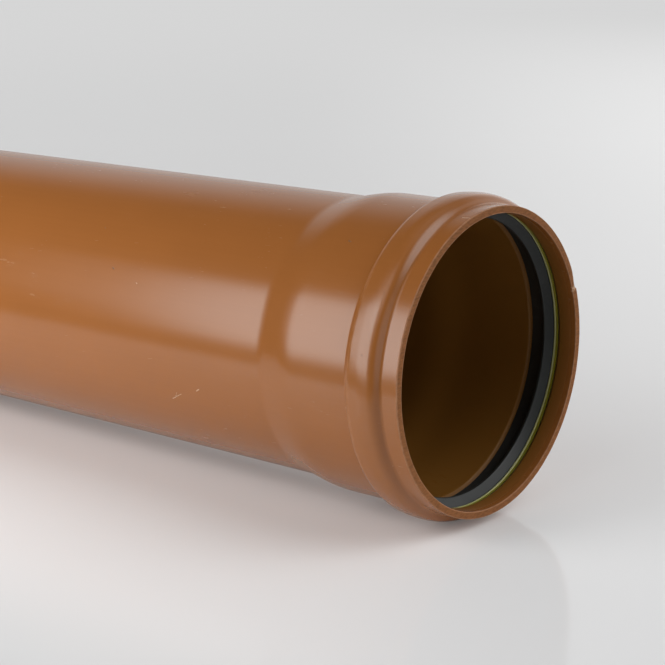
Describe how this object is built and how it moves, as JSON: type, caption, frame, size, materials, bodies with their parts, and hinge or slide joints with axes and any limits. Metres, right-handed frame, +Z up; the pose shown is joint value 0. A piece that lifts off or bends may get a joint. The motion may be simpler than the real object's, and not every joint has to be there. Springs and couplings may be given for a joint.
{
  "type": "drainage pipe",
  "caption": "Straight plastic drainage pipe: a chamfered spigot at one end, and a formed socket with a captive rubber ring seal at the other.",
  "frame": {"origin": "on the floor, under the middle of the pipe's length and width as it lies at rest", "axes": "+X along the pipe towards the socket's mouth (the axis rises 0.51 degrees towards the mouth, because the bead is wider than the spigot), +Z up, +Y across"},
  "size_m": [1.0774, 0.1788, 0.1788],
  "materials": {
    "pipe": "satin-gloss orange-brown PVC-U, fine lengthwise extrusion lines",
    "support_ring": "plain yellow-green polypropylene",
    "seal": "smooth black rubber with a dull sheen"
  },
  "bodies": {
    "root": {"pipe": "pipe", "support_ring": "support_ring", "seal": "seal"}
  },
  "joints": []
}
